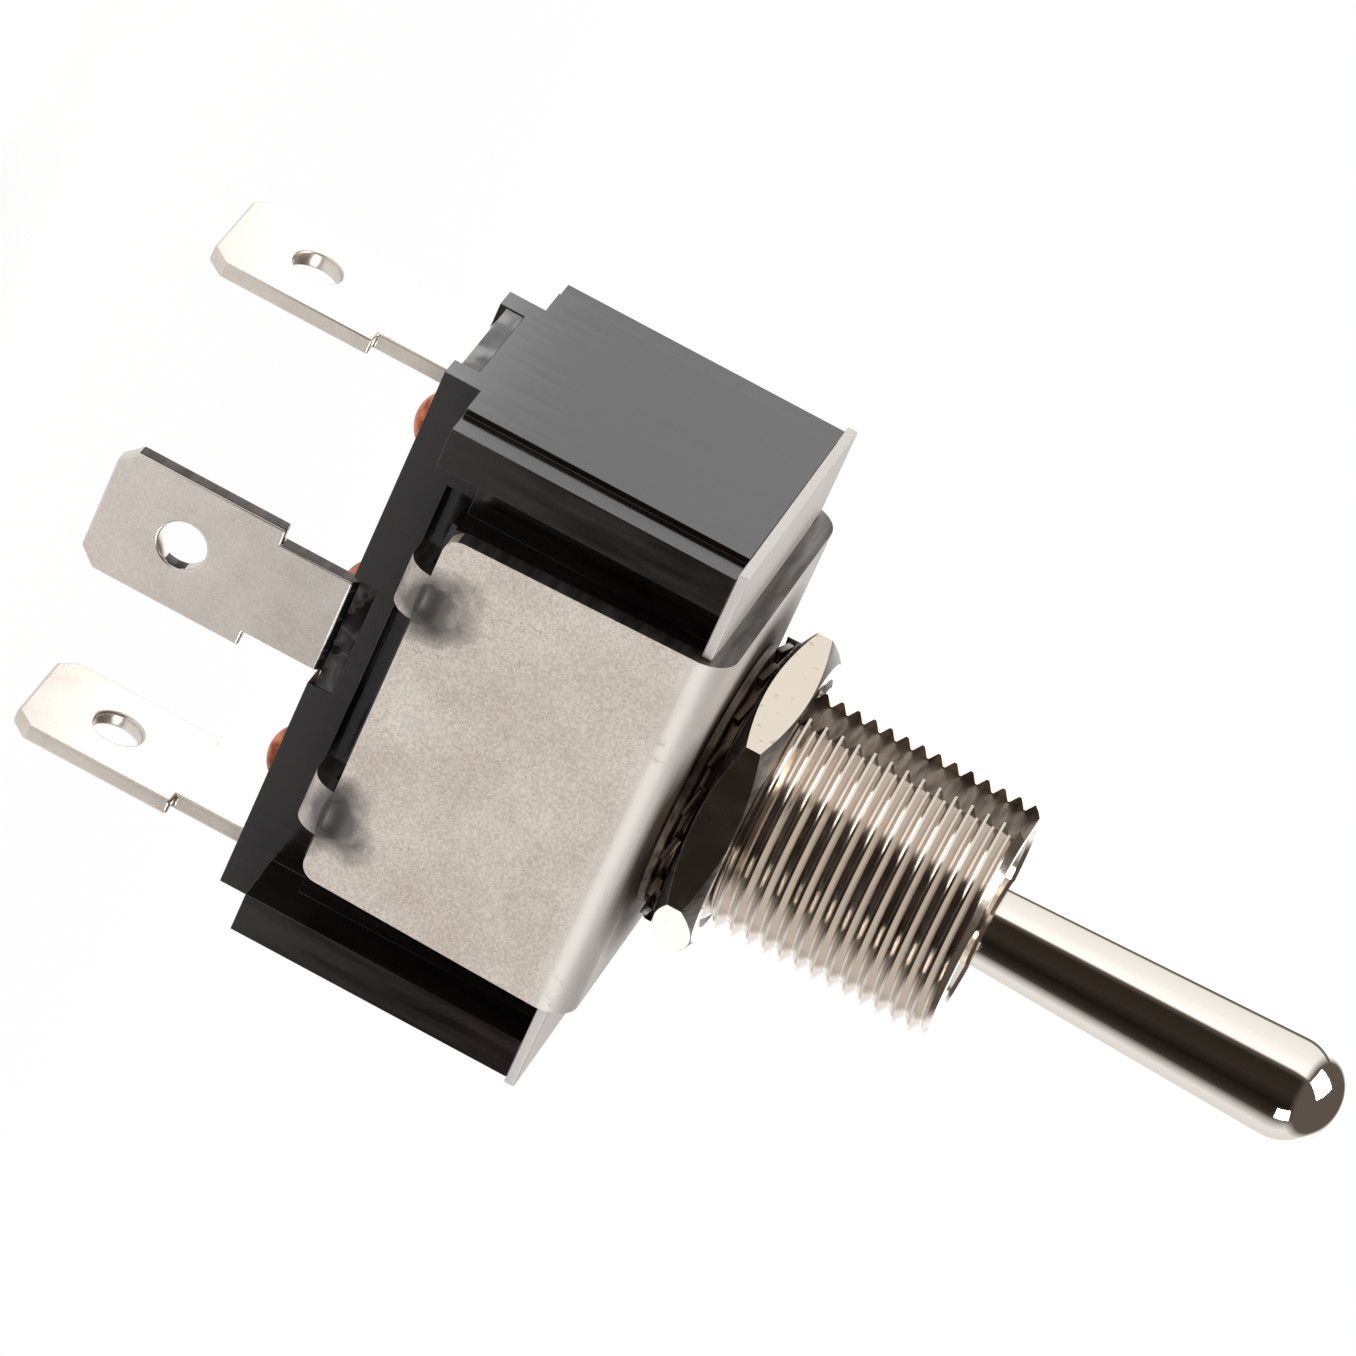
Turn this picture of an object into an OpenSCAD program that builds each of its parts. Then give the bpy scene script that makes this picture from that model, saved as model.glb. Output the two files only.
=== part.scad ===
// Panel toggle switch with three blade terminals and a centre-off lever.
// +Z is the lever's axis, X runs along the row of terminals, Y is the thickness.
// The origin is on the bushing's axis, at the top face of the steel frame.

/* [Case] */
// Length of the case over its end panels
case_l = 28.6; // [26:0.2:34]
// Thickness of the case over its end blocks
case_w = 15.2; // [14:0.2:20]
// Height of the case, from under the cover plate to its foot
case_h = 15.5; // [14.5:0.1:20]
// Height of the narrow foot below the end blocks
foot_h = 1.75; // [1.2:0.05:3]
// Thickness of the narrow foot
foot_w = 8.5; // [8.2:0.1:10]
// Width of each end block along the case
block_l = 2.3; // [1.8:0.1:2.8]
// Thickness of the case at the bottom of the side channels
channel_w = 11; // [10.6:0.1:12.4]
// Width of each side channel, between an end block and the frame's seat
channel_l = 2.7; // [1.2:0.1:2.9]
// Height by which each end panel stands proud
panel_rise = 0.3; // [0.1:0.05:0.6]
// Margin between an end panel and the case's corner
panel_margin = 1.55; // [0.8:0.05:2.5]
// Thickness of the wall behind each end terminal
end_wall = 0.9; // [0.8:0.05:1.1]
// Thickness of the side wall at the channels
side_wall = 1.2; // [0.8:0.05:1.4]
// Thickness of the case's floor above its foot face
floor_t = 4; // [3.7:0.1:4.6]
// Height of the notches that the terminals leave by
notch_h = 1.2; // [0.6:0.1:1.6]
// Room on each side of a terminal in its notch
notch_side = 0.5; // [0.2:0.1:0.8]
// Height of the groove that takes the frame's tabs
groove_h = 1.2; // [1.1:0.05:1.4]
// Depth of that groove into the foot
groove_d = 0.95; // [0.2:0.05:1]

/* [Frame and cover] */
// Thickness of the frame's sheet
sheet_t = 0.95; // [0.7:0.05:1.2]
// Width of the frame's web along the case
web_l = 19.5; // [17:0.1:20]
// Width of each leg at its lower edge
leg_end_l = 18.9; // [16:0.1:19.5]
// Height of each leg, from the web's top face
leg_h = 13.4; // [12.4:0.1:16]
// Distance over the outside of the two legs
frame_w = 16.1; // [15:0.1:20]
// Radius of the lower corners of each leg
leg_corner_r = 0.8; // [0.4:0.1:1.2]
// Outer radius of the bend between web and leg
bend_r = 1.6; // [1.2:0.1:2.5]
// Width of each crimp tab
tab_l = 2.4; // [1.6:0.1:3]
// Distance between the two crimp tabs of a leg
tab_pitch = 12.1; // [9:0.1:13]
// Inner radius of a crimp tab's bend
tab_bend_r = 0.3; // [0.2:0.05:0.5]
// Flat length of a crimp tab past its bend
tab_flat = 1.2; // [0.6:0.1:1.6]
// Radius of the crimping tool's mark above each tab
crimp_r = 1.15; // [0.8:0.05:1.2]
// Depth of that mark
crimp_d = 0.15; // [0.05:0.01:0.2]
// Thickness of the cover plate under the web
cover_t = 0.5; // [0.3:0.05:0.8]

/* [Bushing] */
// Height of the bushing above the web
bushing_h = 14; // [12:0.5:18]
// Radius over the thread's crests
thread_r = 5.8; // [5.5:0.05:6.3]
// Pitch of the thread
thread_pitch = 0.794; // [0.75:0.001:1]
// Amount by which the stretch under the nut is smaller in radius
runout = 0.2; // [0.15:0.05:0.3]
// Radius of the shoulder that sits on the web
shoulder_r = 6.3; // [6.1:0.1:6.8]
// Height of the shoulder
shoulder_h = 0.5; // [0.3:0.05:0.8]
// Radius of the tail that passes through the web
tail_r = 4.9; // [4.7:0.05:5.1]
// Radius of the rolled rim under the web
rim_r = 5.4; // [5.2:0.05:5.6]
// Radius of the bore round the lever's ball
bore_r = 3.4; // [3.3:0.05:3.6]
// Radius of the bore at the mouth
mouth_r = 4.35; // [4.2:0.05:4.6]
// Width of the keyway along the thread
key_w = 2.4; // [1.5:0.1:3]
// Depth of the keyway below the crests
key_d = 0.65; // [0.4:0.05:0.7]

/* [Lever] */
// Height of the lever's tip above the web
tip_z = 31.4; // [28:0.2:36]
// Radius of the bat near its tip
bat_r = 2.65; // [2.3:0.05:3]
// Radius of the bat where it leaves the bushing
neck_r = 2.1; // [1.8:0.05:2.15]
// Radius of the pivot ball's gap in its bore
ball_gap = 0.08; // [0.05:0.01:0.1]
// Height of the lever's pivot above the web
pivot_z = 4.2; // [4:0.1:4.8]
// Radius of the pivot pin
pin_r = 0.8; // [0.6:0.05:0.9]
// Swing of the lever to each side, in degrees
lever_swing = 12; // [8:1:12]
// Outer radius of the lever's lower stem
stem_r = 1.75; // [1.6:0.05:1.9]
// Running gap of a pin or plunger in its hole
fit_gap = 0.05; // [0.02:0.01:0.08]

/* [Contacts] */
// Radius of the plunger's stem
plunger_r = 1; // [0.9:0.05:1.1]
// Radius of the plunger's round nose
nose_r = 1.2; // [1.15:0.05:1.3]
// Length of the plunger between its nose and the lever's stem
plunger_out = 1.6; // [1.3:0.1:1.8]
// Length of the plunger inside the lever's stem
plunger_in = 3.22; // [2.8:0.02:3.3]
// Length of the plunger spring as fitted
spring_l = 3.4; // [3:0.1:3.5]
// Diameter of the plunger spring's wire
wire_d = 0.3; // [0.25:0.01:0.35]
// Number of turns in the plunger spring
spring_turns = 5; // [4:1:7]
// Swing of the rocker to each side, in degrees
rocker_swing = 8; // [5:1:8]
// Thickness of the rocker's sheet
rocker_t = 0.8; // [0.6:0.05:1]
// Width of the rocker
rocker_w = 3.4; // [2.8:0.1:3.6]
// Distance of each contact from the case's end
contact_in = 4.9; // [4.5:0.1:5.4]
// Radius of a moving contact
moving_r = 1.1; // [0.9:0.05:1.3]
// Radius of a fixed contact
fixed_r = 1.4; // [1.2:0.05:1.6]
// Height of a fixed contact above its terminal
fixed_h = 0.55; // [0.4:0.05:0.8]
// Radius of the rocker's trunnions
trunnion_r = 0.5; // [0.4:0.05:0.6]
// Height of the rocker's pivot above the terminals' feet
rocker_rise = 2.6; // [2.4:0.1:3.2]

/* [Terminals] */
// Width of a blade
blade_w = 6.4; // [6.3:0.05:6.5]
// Thickness of a blade
blade_t = 0.8; // [0.7:0.05:0.9]
// Length of the wide part of a blade
blade_l = 8.05; // [7:0.05:9]
// Width of a blade's neck
neck_w = 4.9; // [4:0.1:5.5]
// Length of the neck outside the case
neck_l = 3.55; // [2:0.05:5]
// Chamfer at the tip's corners
tip_cut = 0.8; // [0.5:0.05:1]
// Radius of the hole in a blade
hole_r = 1.15; // [0.8:0.05:1.3]
// Distance of the hole from the tip
hole_in = 4.1; // [3:0.05:4.5]
// Setback of the middle blade from the foot's face
middle_in = 0.3; // [0.2:0.05:0.5]
// Step by which the middle blade goes inwards inside the foot
middle_jog = 1; // [0.9:0.05:1.3]
// Radius of a copper rivet's shank
rivet_r = 1; // [0.8:0.05:1.1]
// Radius of a copper rivet's outer head
rivet_head_r = 1.5; // [1.3:0.05:1.7]
// Height of a copper rivet's outer head
rivet_head_h = 1; // [0.5:0.05:1.2]

/* [Nut and washer] */
// Width of the nut across its flats
nut_flats = 13.8; // [13.4:0.1:15]
// Thickness of the nut
nut_t = 1.9; // [1.5:0.1:3]
// Turn of the nut on the thread, in degrees
nut_angle = 45; // [0:1:60]
// Thickness of the lock washer
washer_t = 0.6; // [0.4:0.05:0.8]
// Radius over the lock washer's teeth
washer_r = 6.9; // [6.7:0.1:7.5]
// Number of teeth on the lock washer
washer_teeth = 18; // [12:1:24]
// Running gap of nut and washer over the crests
thread_gap = 0.07; // [0.03:0.01:0.09]

/* [Hidden] */
$fn = 96;

cut = 1;                                     // how far a cutter runs past the face that it opens
seat_gap = 0.05;                             // gap between pieces that only lie together
step_fn = 32;                                // facets of a hulled child

case_top = -sheet_t - cover_t;
case_bottom = case_top - case_h;
foot_top = case_bottom + foot_h;
floor_z = case_bottom + floor_t;
leg_end_z = -leg_h;
seat_w = frame_w - 2*sheet_t - 2*seat_gap;   // thickness of the case between the frame's legs
seat_l = case_l - 2*block_l - 2*channel_l;
tab_top = leg_end_z - tab_bend_r;
seat_z = tab_top + seat_gap;                 // underside of the ledge that the tabs hook under
groove_z = seat_z - groove_h;

contact_x = case_l/2 - contact_in;
cavity_l = case_l - 2*end_wall;
cavity_w = channel_w - 2*side_wall;

blade_x = cavity_l/2 - seat_gap;             // outer face of an end blade
middle_y = -foot_w/2 + middle_in;            // outer face of the middle blade
foot_z = floor_z + blade_t;                  // top of the terminals' feet
notch_top = case_bottom + notch_h;
middle_inner_y = middle_y + middle_jog;      // outer face of the middle blade inside the foot
tip_bottom = case_bottom - neck_l - blade_l;
shank_r = rivet_r - seat_gap;

rocker_z = foot_z + rocker_rise;
sheet_z = trunnion_r - 0.2;                  // underside of the rocker's sheet above its pivot
nose_gap = 0.03;
nose_z = rocker_z + sheet_z + rocker_t + nose_gap + nose_r;
nose_arm = pivot_z - nose_z;
nose_h = nose_z - rocker_z;

// Where the nose stands over the rocker at full swing, in the rocker's own axes.
nose_x1 = -nose_arm*sin(lever_swing)*cos(rocker_swing)
          + (nose_h + nose_arm*(1 - cos(lever_swing)))*sin(rocker_swing);
nose_h1 = nose_arm*sin(lever_swing)*sin(rocker_swing)
          + (nose_h + nose_arm*(1 - cos(lever_swing)))*cos(rocker_swing);
trough_path_r = (pow(nose_x1, 2) + pow(nose_h1 - nose_h, 2))/(2*(nose_h1 - nose_h));
trough_r = trough_path_r + nose_r;
trough_half = abs(nose_x1) + 0.6;            // half the width of the rocker's trough

contact_drop = contact_x*sin(rocker_swing);  // fall of a moving contact at full swing
touch_gap = 0.06;
moving_low = rocker_z - (foot_z + fixed_h + touch_gap) - contact_drop;  // lowest point below the pivot

washer_z = shoulder_h;
nut_z = washer_z + washer_t + seat_gap;
free_thread_z = nut_z + nut_t + 0.25;
mouth_chamfer = 0.65*thread_pitch*cos(30);   // cuts the last crest down to the thread's root
ball_r = bore_r - ball_gap;
bore_top_z = pivot_z + ball_r + 0.3;
pin_l = 2*(tail_r - 0.6);
slot_gap = 0.03;
ear_t = 0.5;
ear_in = rocker_w/2 + 0.15;
ear_out = ear_in + ear_t + 0.1;
saddle_t = 0.5;
stem_end_z = nose_z + nose_r + plunger_out;
plunger_top_z = stem_end_z + plunger_in;
spring_top_z = plunger_top_z + spring_l;     // top of the stem's bore, under the pin

module centred_box(size, z0, z1) {
    translate([-size[0]/2, -size[1]/2, z0]) cube([size[0], size[1], z1 - z0]);
}

module both_ends() {
    children();
    mirror([1, 0, 0]) children();
}

module both_sides() {
    children();
    mirror([0, 1, 0]) children();
}

// Outline of the case seen from above, with its end blocks and side channels.
module case_outline() {
    square([case_l - 2*panel_rise, channel_w], center = true);
    square([seat_l, seat_w], center = true);
    both_ends() {
        translate([case_l/2 - block_l, -case_w/2]) square([block_l - panel_rise, case_w]);
        translate([case_l/2 - block_l, -case_w/2 + panel_margin])
            square([block_l, case_w - 2*panel_margin]);
    }
}

module housing() {
    color([0.13, 0.12, 0.12]) difference() {
        union() {
            translate([0, 0, leg_end_z]) linear_extrude(case_top - leg_end_z) case_outline();
            centred_box([seat_l, seat_w - 2*tab_bend_r], seat_z, leg_end_z);
            both_ends() translate([0, 0, foot_top]) linear_extrude(leg_end_z - foot_top)
                intersection() {
                    case_outline();
                    translate([case_l/2 - block_l, -case_w/2]) square([block_l, case_w]);
                }
            centred_box([case_l, foot_w], case_bottom, leg_end_z);
        }
        centred_box([cavity_l, cavity_w], floor_z, case_top + cut);
        both_sides() translate([-seat_l/2, foot_w/2 - groove_d, groove_z])
            cube([seat_l, groove_d + cut, groove_h]);
        both_ends() {
            translate([blade_x - blade_t - seat_gap, -neck_w/2 - seat_gap, case_bottom - cut])
                cube([blade_t + 2*seat_gap, neck_w + 2*seat_gap, floor_t + 2*cut]);
            translate([blade_x - blade_t, -neck_w/2 - notch_side, case_bottom - cut])
                cube([case_l, neck_w + 2*notch_side, notch_h + cut]);
            translate([contact_x, 0, case_bottom - cut]) cylinder(r = rivet_r, h = floor_t + 2*cut);
        }
        translate([0, 0, case_bottom - cut]) cylinder(r = rivet_r, h = floor_t + 2*cut);
        translate([-neck_w/2 - seat_gap, middle_inner_y - seat_gap, case_bottom - cut])
            cube([neck_w + 2*seat_gap, blade_t + 2*seat_gap, floor_t + 2*cut]);
        translate([-neck_w/2 - notch_side, -foot_w/2 - cut, case_bottom - cut])
            cube([neck_w + 2*notch_side, cut + middle_in + middle_jog + blade_t + seat_gap, notch_h + cut]);
    }
}

// One leg's section from the web's middle to its crimp tab, drawn in the Y-Z plane.
module leg_section(with_tab) {
    web_half = frame_w/2 - bend_r;
    translate([0, -sheet_t]) square([web_half, sheet_t]);
    translate([web_half, -bend_r]) intersection() {
        difference() {
            circle(r = bend_r);
            circle(r = bend_r - sheet_t);
        }
        square(bend_r);
    }
    translate([frame_w/2 - sheet_t, leg_end_z]) square([sheet_t, leg_h - bend_r]);
    if (with_tab) {
        tab_y = frame_w/2 - sheet_t - tab_bend_r;
        translate([tab_y, leg_end_z]) mirror([0, 1]) intersection() {
            difference() {
                circle(r = tab_bend_r + sheet_t);
                circle(r = tab_bend_r);
            }
            square(tab_bend_r + sheet_t);
        }
        translate([tab_y - tab_flat, tab_top - sheet_t]) square([tab_flat, sheet_t]);
    }
}

module along_x(length) {
    rotate([90, 0, 90]) translate([0, 0, -length/2]) linear_extrude(length) children();
}

// The leg's outline seen square on: a little narrower at its lower edge, with round corners.
module leg_outline() {
    polygon([[-web_l/2, cut], [web_l/2, cut], [web_l/2, -bend_r], [leg_end_l/2, leg_end_z + leg_corner_r],
             [leg_end_l/2 - leg_corner_r, leg_end_z], [-leg_end_l/2 + leg_corner_r, leg_end_z],
             [-leg_end_l/2, leg_end_z + leg_corner_r], [-web_l/2, -bend_r]]);
    for (side = [-1, 1])
        translate([side*(leg_end_l/2 - leg_corner_r), leg_end_z + leg_corner_r]) circle(r = leg_corner_r);
}

module frame() {
    ball_mark_r = (pow(crimp_r, 2) + pow(crimp_d, 2))/(2*crimp_d);
    color([0.74, 0.73, 0.71]) difference() {
        both_sides() {
            intersection() {
                along_x(web_l) leg_section(false);
                rotate([90, 0, 0]) translate([0, 0, -frame_w]) linear_extrude(2*frame_w) leg_outline();
            }
            both_ends() translate([tab_pitch/2, 0, 0]) along_x(tab_l) leg_section(true);
        }
        translate([0, 0, -sheet_t - cut]) cylinder(r = tail_r + seat_gap, h = sheet_t + 2*cut);
        both_sides() both_ends()
            translate([tab_pitch/2, frame_w/2 - crimp_d + ball_mark_r, leg_end_z + crimp_r - 0.3])
                sphere(r = ball_mark_r);
    }
}

module cover_plate() {
    inner_w = frame_w - 2*bend_r - 2*seat_gap;
    color([0.7, 0.68, 0.62]) difference() {
        union() {
            centred_box([case_l, inner_w], case_top, -sheet_t);
            both_ends() translate([web_l/2 + seat_gap, -case_w/2, case_top])
                cube([case_l/2 - web_l/2 - seat_gap, case_w, cover_t]);
        }
        translate([0, 0, case_top - cut]) cylinder(r = rim_r + seat_gap, h = cover_t + 2*cut);
    }
}

module bushing() {
    root = shoulder_h;
    color([0.8, 0.78, 0.74]) difference() {
        rotate_extrude() polygon([
            [0, -sheet_t - cover_t + seat_gap], [rim_r - 0.2, -sheet_t - cover_t + seat_gap],
            [rim_r, -sheet_t], [tail_r, -sheet_t], [tail_r, 0], [shoulder_r, 0], [shoulder_r, root],
            [thread_r - runout, root], [thread_r - runout, free_thread_z], [thread_r, free_thread_z],
            [thread_r, bushing_h - mouth_chamfer], [thread_r - mouth_chamfer, bushing_h], [0, bushing_h]]);
        rotate_extrude() polygon([
            [0, -sheet_t - cover_t - cut], [bore_r, -sheet_t - cover_t - cut], [bore_r, bore_top_z],
            [mouth_r, bushing_h], [mouth_r, bushing_h + cut], [0, bushing_h + cut]]);
        translate([-thread_r - cut, -key_w/2, root]) cube([cut + key_d, key_w, bushing_h]);
        // Two slots take the pivot pin's ends from below.
        hull_w = pin_r + slot_gap;
        translate([-hull_w, -pin_l/2 - slot_gap, -sheet_t - cover_t - cut])
            cube([2*hull_w, pin_l + 2*slot_gap, pivot_z + sheet_t + cover_t + cut]);
        translate([0, -pin_l/2 - slot_gap, pivot_z]) rotate([-90, 0, 0])
            cylinder(r = hull_w, h = pin_l + 2*slot_gap);
    }
}

module lever() {
    bat_z = tip_z - bat_r;
    color([0.83, 0.81, 0.77]) difference() {
        union() {
            rotate_extrude() polygon([
                [0, stem_end_z], [stem_r, stem_end_z], [stem_r, pivot_z], [neck_r, pivot_z],
                [neck_r, bushing_h], [bat_r, bat_z], [0, bat_z]]);
            translate([0, 0, pivot_z]) sphere(r = ball_r);
            translate([0, 0, bat_z]) sphere(r = bat_r);
        }
        translate([0, -bore_r - cut, pivot_z]) rotate([-90, 0, 0])
            cylinder(r = pin_r + fit_gap, h = 2*bore_r + 2*cut);
        translate([0, 0, stem_end_z - cut])
            cylinder(r = plunger_r + fit_gap, h = spring_top_z - stem_end_z + cut);
    }
}

module lever_pin() {
    color([0.72, 0.72, 0.72]) translate([0, -pin_l/2, pivot_z]) rotate([-90, 0, 0])
        cylinder(r = pin_r, h = pin_l);
}

module plunger() {
    color([0.86, 0.84, 0.78]) {
        translate([0, 0, nose_z]) cylinder(r = plunger_r, h = plunger_top_z - nose_z);
        translate([0, 0, nose_z]) sphere(r = nose_r);
    }
}

// A closed section of [radius, height] points swept up a helix, listed anticlockwise.
module helix(section, z0, rise, turns, steps) {
    sides = len(section);
    count = ceil(turns*steps);
    points = [for (i = [0:count]) for (p = section)
        [p[0]*cos(360*i/steps), p[0]*sin(360*i/steps), z0 + rise*i/steps + p[1]]];
    walls = [for (i = [0:count - 1]) for (k = [0:sides - 1])
        let (n = (k + 1)%sides) [i*sides + k, (i + 1)*sides + k, (i + 1)*sides + n, i*sides + n]];
    start_cap = [for (k = [0:sides - 1]) k];
    end_cap = [for (k = [sides - 1:-1:0]) count*sides + k];
    polyhedron(points, concat(walls, [start_cap], [end_cap]), convexity = 8);
}

module plunger_spring() {
    wire_r = wire_d/2;
    coil_r = plunger_r - wire_r - 0.05;
    wire = [for (k = [0:7]) [coil_r + wire_r*cos(45*k), wire_r*sin(45*k)]];
    color([0.55, 0.56, 0.58])
        helix(wire, plunger_top_z + wire_r + 0.02, (spring_l - wire_d - 0.04)/spring_turns, spring_turns, 16);
}

// The rocker's section: a trough in the middle and a flat arm to each side.
module rocker_section() {
    arm_end = contact_x + moving_r + 0.2;
    trough_lip = sheet_z + rocker_t + nose_h1 - nose_h;
    difference() {
        union() {
            translate([-arm_end, sheet_z]) square([2*arm_end, rocker_t]);
            polygon([[-trough_half - 1.4, sheet_z + rocker_t/2], [trough_half + 1.4, sheet_z + rocker_t/2],
                     [trough_half + 0.4, trough_lip + 0.2], [-trough_half - 0.4, trough_lip + 0.2]]);
        }
        translate([0, sheet_z + rocker_t + trough_r]) circle(r = trough_r);
    }
}

module rocker() {
    color([0.78, 0.62, 0.35]) translate([0, 0, rocker_z]) {
        rotate([90, 0, 0]) translate([0, 0, -rocker_w/2]) linear_extrude(rocker_w) rocker_section();
        rotate([90, 0, 0]) translate([0, 0, -ear_out]) cylinder(r = trunnion_r, h = 2*ear_out);
    }
}

module rocker_contacts() {
    cap_h = 0.25;
    cap_r = (pow(moving_r, 2) + pow(cap_h, 2))/(2*cap_h);
    color([0.88, 0.87, 0.84]) both_ends() translate([contact_x, 0, rocker_z]) {
        translate([0, 0, -moving_low + cap_h]) cylinder(r = moving_r, h = sheet_z + moving_low - cap_h);
        intersection() {
            translate([0, 0, -moving_low + cap_r]) sphere(r = cap_r);
            translate([0, 0, -moving_low - cut]) cylinder(r = moving_r, h = cap_h + cut + 0.01);
        }
    }
}

// Saddle with two ears: the rocker's trunnions lie in their notches.
module fulcrum() {
    base_l = 2*rivet_head_r + 0.6;
    ear_l = 2.6;
    ear_top = rocker_z + 0.1;
    color([0.78, 0.62, 0.35]) difference() {
        union() {
            centred_box([base_l, 2*(ear_in + ear_t)], foot_z, foot_z + saddle_t);
            both_sides() translate([-ear_l/2, ear_in, foot_z]) cube([ear_l, ear_t, ear_top - foot_z]);
        }
        translate([0, 0, rocker_z]) rotate([90, 0, 0]) translate([0, 0, -ear_out - cut])
            cylinder(r = trunnion_r + fit_gap, h = 2*ear_out + 2*cut);
        translate([0, 0, foot_z - cut]) cylinder(r = rivet_r, h = saddle_t + 2*cut);
    }
}

// The wide part of a blade drawn flat, with its tip down.
module blade_outline() {
    shoulder_z = case_bottom - neck_l;
    polygon([[-blade_w/2, shoulder_z], [-blade_w/2, tip_bottom + tip_cut], [-blade_w/2 + tip_cut, tip_bottom],
             [blade_w/2 - tip_cut, tip_bottom], [blade_w/2, tip_bottom + tip_cut], [blade_w/2, shoulder_z]]);
}

// The neck's and foot's section: up from the wide part, in by the jog, up the case and over its floor.
module neck_section(jog, foot_l) {
    shoulder_z = case_bottom - neck_l;
    polygon([[0, shoulder_z], [0, case_bottom], [jog, notch_top], [jog, foot_z], [jog + foot_l, foot_z],
             [jog + foot_l, floor_z], [jog + blade_t, floor_z], [jog + blade_t, notch_top],
             [blade_t, case_bottom], [blade_t, shoulder_z]]);
}

// A blade standing in the X-Z plane with its foot turned over towards +Y.
module terminal(jog, foot_l, rivet_at) {
    difference() {
        union() {
            rotate([90, 0, 0]) translate([0, 0, -blade_t]) linear_extrude(blade_t) blade_outline();
            along_x(neck_w) neck_section(jog, foot_l);
        }
        translate([0, -cut, tip_bottom + hole_in]) rotate([-90, 0, 0]) cylinder(r = hole_r, h = blade_t + 2*cut);
        translate([0, rivet_at, floor_z - cut]) cylinder(r = rivet_r, h = blade_t + 2*cut);
    }
}

module common_terminal() {
    color([0.8, 0.78, 0.75]) translate([0, middle_y, 0])
        terminal(middle_jog, -middle_inner_y + rivet_head_r + 0.8, -middle_y);
}

module right_terminal() {
    reach = blade_x - contact_x;
    color([0.8, 0.78, 0.75]) translate([blade_x, 0, 0]) rotate([0, 0, 90])
        terminal(0, reach + fixed_r + 0.3, reach);
}

module left_terminal() {
    mirror([1, 0, 0]) right_terminal();
}

module fixed_contact() {
    color([0.88, 0.87, 0.84]) translate([contact_x, 0, foot_z]) cylinder(r = fixed_r, h = fixed_h);
}

module right_contact() {
    fixed_contact();
}

module left_contact() {
    mirror([1, 0, 0]) fixed_contact();
}

// A copper rivet through the floor: a low dome outside, its shank up to the given height.
module rivet(top_z) {
    dome_r = (pow(rivet_head_r, 2) + pow(rivet_head_h, 2))/(2*rivet_head_h);
    color([0.72, 0.38, 0.24]) {
        translate([0, 0, case_bottom - 0.2]) cylinder(r = shank_r, h = top_z - case_bottom + 0.2);
        intersection() {
            translate([0, 0, case_bottom - rivet_head_h + dome_r]) sphere(r = dome_r);
            translate([0, 0, case_bottom - rivet_head_h - cut]) cylinder(r = rivet_head_r, h = rivet_head_h + cut);
        }
    }
}

module common_rivet() {
    saddle_top = foot_z + saddle_t;
    rivet(saddle_top);
    color([0.72, 0.38, 0.24]) translate([0, 0, saddle_top]) cylinder(r = rivet_head_r, h = 0.4);
}

module right_rivet() {
    translate([contact_x, 0, 0]) rivet(foot_z);
}

module left_rivet() {
    mirror([1, 0, 0]) right_rivet();
}

module hex_nut() {
    corner_r = nut_flats/2/cos(30);
    edge = (corner_r - nut_flats/2)*tan(30);
    color([0.8, 0.77, 0.7]) translate([0, 0, nut_z]) difference() {
        intersection() {
            rotate([0, 0, nut_angle]) cylinder(r = corner_r, h = nut_t, $fn = 6);
            rotate_extrude() polygon([[0, 0], [nut_flats/2, 0], [corner_r, edge], [corner_r, nut_t - edge],
                                      [nut_flats/2, nut_t], [0, nut_t]]);
        }
        translate([0, 0, -cut]) cylinder(r = thread_r + thread_gap, h = nut_t + 2*cut);
    }
}

module lock_washer() {
    gap_w = 0.9;
    gap_d = 0.5;
    color([0.62, 0.58, 0.5]) translate([0, 0, washer_z]) difference() {
        cylinder(r = washer_r, h = washer_t);
        translate([0, 0, -cut]) cylinder(r = thread_r + thread_gap, h = washer_t + 2*cut);
        for (i = [0:washer_teeth - 1]) rotate([0, 0, 360*i/washer_teeth])
            translate([washer_r - gap_d, -gap_w/2, -cut]) cube([gap_d + cut, gap_w, washer_t + 2*cut]);
    }
}

// Black epoxy that fills the notches where the terminals leave the foot.
module terminal_sealant() {
    skin = 0.02;
    low = case_bottom + 0.25;
    seal_top = notch_top - skin;
    face_y = -foot_w/2 + seat_gap;
    seal_w = neck_w + 2*notch_side - 2*skin;
    end_x = case_l/2 - seat_gap;
    color([0.05, 0.05, 0.05]) {
        both_ends() rotate([90, 0, 0]) translate([0, 0, -seal_w/2]) linear_extrude(seal_w)
            polygon([[blade_x + skin, low - 0.15], [blade_x + skin, seal_top], [end_x, seal_top], [end_x, low + 0.1]]);
        along_x(seal_w) polygon([[face_y, low + 0.1], [face_y, seal_top], [middle_inner_y - 2*skin, seal_top],
                                 [middle_y + middle_jog*0.25/notch_h - 2*skin, low]]);
    }
}

housing();
frame();
cover_plate();
bushing();
lever();
lever_pin();
plunger();
plunger_spring();
rocker();
rocker_contacts();
fulcrum();
common_terminal();
right_terminal();
left_terminal();
right_contact();
left_contact();
common_rivet();
right_rivet();
left_rivet();
hex_nut();
lock_washer();
terminal_sealant();
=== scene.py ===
import math
import bpy
from mathutils import Matrix, Vector


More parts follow.
